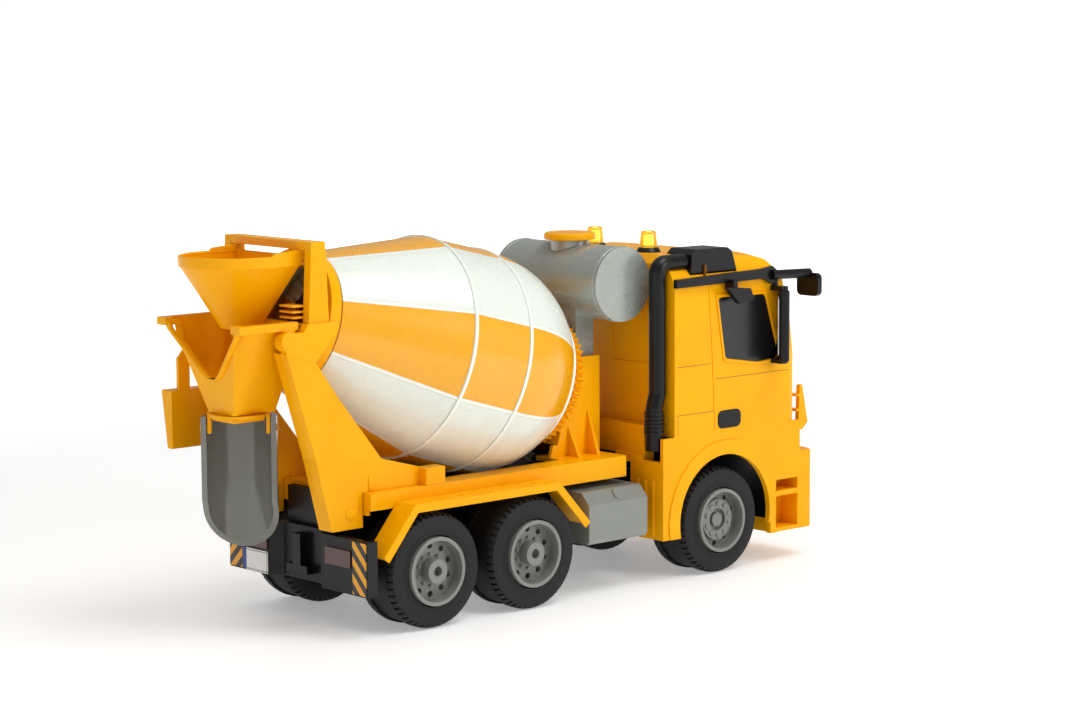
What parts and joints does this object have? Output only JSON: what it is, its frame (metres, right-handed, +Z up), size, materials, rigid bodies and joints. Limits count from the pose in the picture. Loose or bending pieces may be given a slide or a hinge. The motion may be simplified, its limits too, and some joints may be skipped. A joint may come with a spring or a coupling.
{
  "type": "toy cement mixer truck",
  "caption": "Toy cement mixer truck with a turning drum, charging hopper, swivelling and tilting chute, steered front wheels and rolling axles.",
  "frame": {"origin": "on the ground under the middle of the truck", "axes": "+X towards the cab, +Y towards the truck's left side, +Z up"},
  "size_m": [0.364, 0.1372, 0.184],
  "materials": {
    "yellow_plastic": "glossy moulded plastic",
    "white_plastic": "glossy moulded plastic with painted stripes",
    "grey_plastic": "satin grey moulded plastic",
    "black_plastic": "satin black moulded plastic",
    "tyre": "soft black rubber",
    "steel": "bright steel",
    "tinted_glass": "dark tinted plastic",
    "mirror": "plated plastic",
    "amber_lens": "translucent amber plastic",
    "red_lens": "dark red plastic",
    "clear_lens": "clear plastic",
    "marking_plate": "printed plate",
    "battery_wrap": "printed battery sleeve",
    "circuit_board": "green circuit board"
  },
  "bodies": {
    "truck": {"air_box": "black_plastic", "battery_cells": "battery_wrap", "battery_door": "grey_plastic", "beacon_bases": "black_plastic", "beacon_lenses": "amber_lens", "cab_shell": "yellow_plastic", "cab_skirt_left": "yellow_plastic", "cab_skirt_right": "yellow_plastic", "chassis_frame": "black_plastic", "circuit_board": "circuit_board", "collector": "yellow_plastic", "control_box": "yellow_plastic", "deck": "yellow_plastic", "door_handles": "black_plastic", "drive_motor": "steel", "drum_motor": "steel", "front_bumper": "yellow_plastic", "front_grille": "yellow_plastic", "front_pedestal": "yellow_plastic", "gantry": "yellow_plastic", "headlamps": "clear_lens", "hopper": "yellow_plastic", "leg_left": "yellow_plastic", "leg_right": "yellow_plastic", "mirror_glasses": "mirror", "number_plate": "marking_plate", "rear_bumper": "black_plastic", "rear_fenders": "yellow_plastic", "roof_rail_left": "black_plastic", "roof_rail_right": "black_plastic", "screws": "steel", "side_tanks": "grey_plastic", "side_windows": "tinted_glass", "snorkel": "black_plastic", "tail_lamps": "red_lens", "warning_plates": "marking_plate", "water_tank": "grey_plastic", "windscreen": "tinted_glass"},
    "switch": {"power_switch": "black_plastic"},
    "drum": {"drum_shell": "white_plastic", "drum_blades": "white_plastic", "drum_gear": "yellow_plastic"},
    "pinion": {"drum_pinion": "grey_plastic"},
    "middle_wheels": {"middle_tyres": "tyre", "middle_rims": "grey_plastic", "middle_axle": "steel"},
    "drive_pinion": {"motor_pinion": "grey_plastic"},
    "rear_wheels": {"rear_tyres": "tyre", "rear_rims": "grey_plastic", "rear_axle": "steel"},
    "steer_left": {"knuckle_left": "black_plastic"},
    "steer_right": {"knuckle_right": "black_plastic"},
    "track_rod": {"tie_rod": "black_plastic"},
    "front_wheel_left": {"front_tyre_left": "tyre", "front_rim_left": "grey_plastic"},
    "front_wheel_right": {"front_tyre_right": "tyre", "front_rim_right": "grey_plastic"},
    "swivel": {"chute_swivel": "yellow_plastic"},
    "chute": {"chute": "grey_plastic"},
    "lid": {"tank_lid": "yellow_plastic"}
  },
  "joints": [
    {"name": "drum_spin", "type": "hinge", "parent": "truck", "child": "drum", "pos_m": [-0.02, 0, 0.116], "axis": [0.963, 0, -0.2694], "continuous": true},
    {"name": "drum_pinion_spin", "type": "hinge", "parent": "truck", "child": "pinion", "pos_m": [0.01764, 0, 0.0631], "axis": [0.963, 0, -0.2694], "continuous": true},
    {"name": "middle_axle_spin", "type": "hinge", "parent": "truck", "child": "middle_wheels", "pos_m": [-0.0209, 0, 0.0275], "axis": [0, 1, 0], "continuous": true},
    {"name": "motor_pinion_spin", "type": "hinge", "parent": "truck", "child": "drive_pinion", "pos_m": [-0.0209, 0, 0.0371], "axis": [0, 1, 0], "continuous": true},
    {"name": "rear_axle_spin", "type": "hinge", "parent": "truck", "child": "rear_wheels", "pos_m": [-0.0825, 0, 0.0275], "axis": [0, 1, 0], "continuous": true},
    {"name": "steer_left_turn", "type": "hinge", "parent": "truck", "child": "steer_left", "pos_m": [0.1084, 0.033, 0.0275], "axis": [0, 0, 1], "range_deg": [-18, 18]},
    {"name": "steer_right_turn", "type": "hinge", "parent": "truck", "child": "steer_right", "pos_m": [0.1084, -0.033, 0.0275], "axis": [0, 0, 1], "range_deg": [-18, 18]},
    {"name": "track_rod_slide", "type": "slide", "parent": "truck", "child": "track_rod", "axis": [0, 1, 0], "range_m": [-0.0032, 0.0032]},
    {"name": "front_wheel_left_spin", "type": "hinge", "parent": "steer_left", "child": "front_wheel_left", "pos_m": [0.1084, 0.041, 0.0275], "axis": [0, 1, 0], "continuous": true},
    {"name": "front_wheel_right_spin", "type": "hinge", "parent": "steer_right", "child": "front_wheel_right", "pos_m": [0.1084, -0.041, 0.0275], "axis": [0, 1, 0], "continuous": true},
    {"name": "chute_swing", "type": "hinge", "parent": "truck", "child": "swivel", "pos_m": [-0.1558, 0, 0.1034], "axis": [0, 0, 1], "range_deg": [-108, 12]},
    {"name": "chute_tilt", "type": "hinge", "parent": "swivel", "child": "chute", "pos_m": [-0.15312, 0.00297, 0.097], "axis": [-0.7431, 0.6691, 0], "range_deg": [0, 60]},
    {"name": "lid_turn", "type": "hinge", "parent": "truck", "child": "lid", "pos_m": [0.0531, 0, 0.1715], "axis": [0, 0, 1], "range_deg": [0, 90]},
    {"name": "switch_slide", "type": "slide", "parent": "truck", "child": "switch", "axis": [1, 0, 0], "range_m": [0, 0.004]}
  ],
  "couplings": [
    {"joint": "drum_pinion_spin", "follows": "drum_spin", "ratio": -4},
    {"joint": "motor_pinion_spin", "follows": "middle_axle_spin", "ratio": -2.8},
    {"joint": "steer_right_turn", "follows": "steer_left_turn", "ratio": 1},
    {"joint": "track_rod_slide", "follows": "steer_left_turn", "m_per_rad": -0.01}
  ]
}
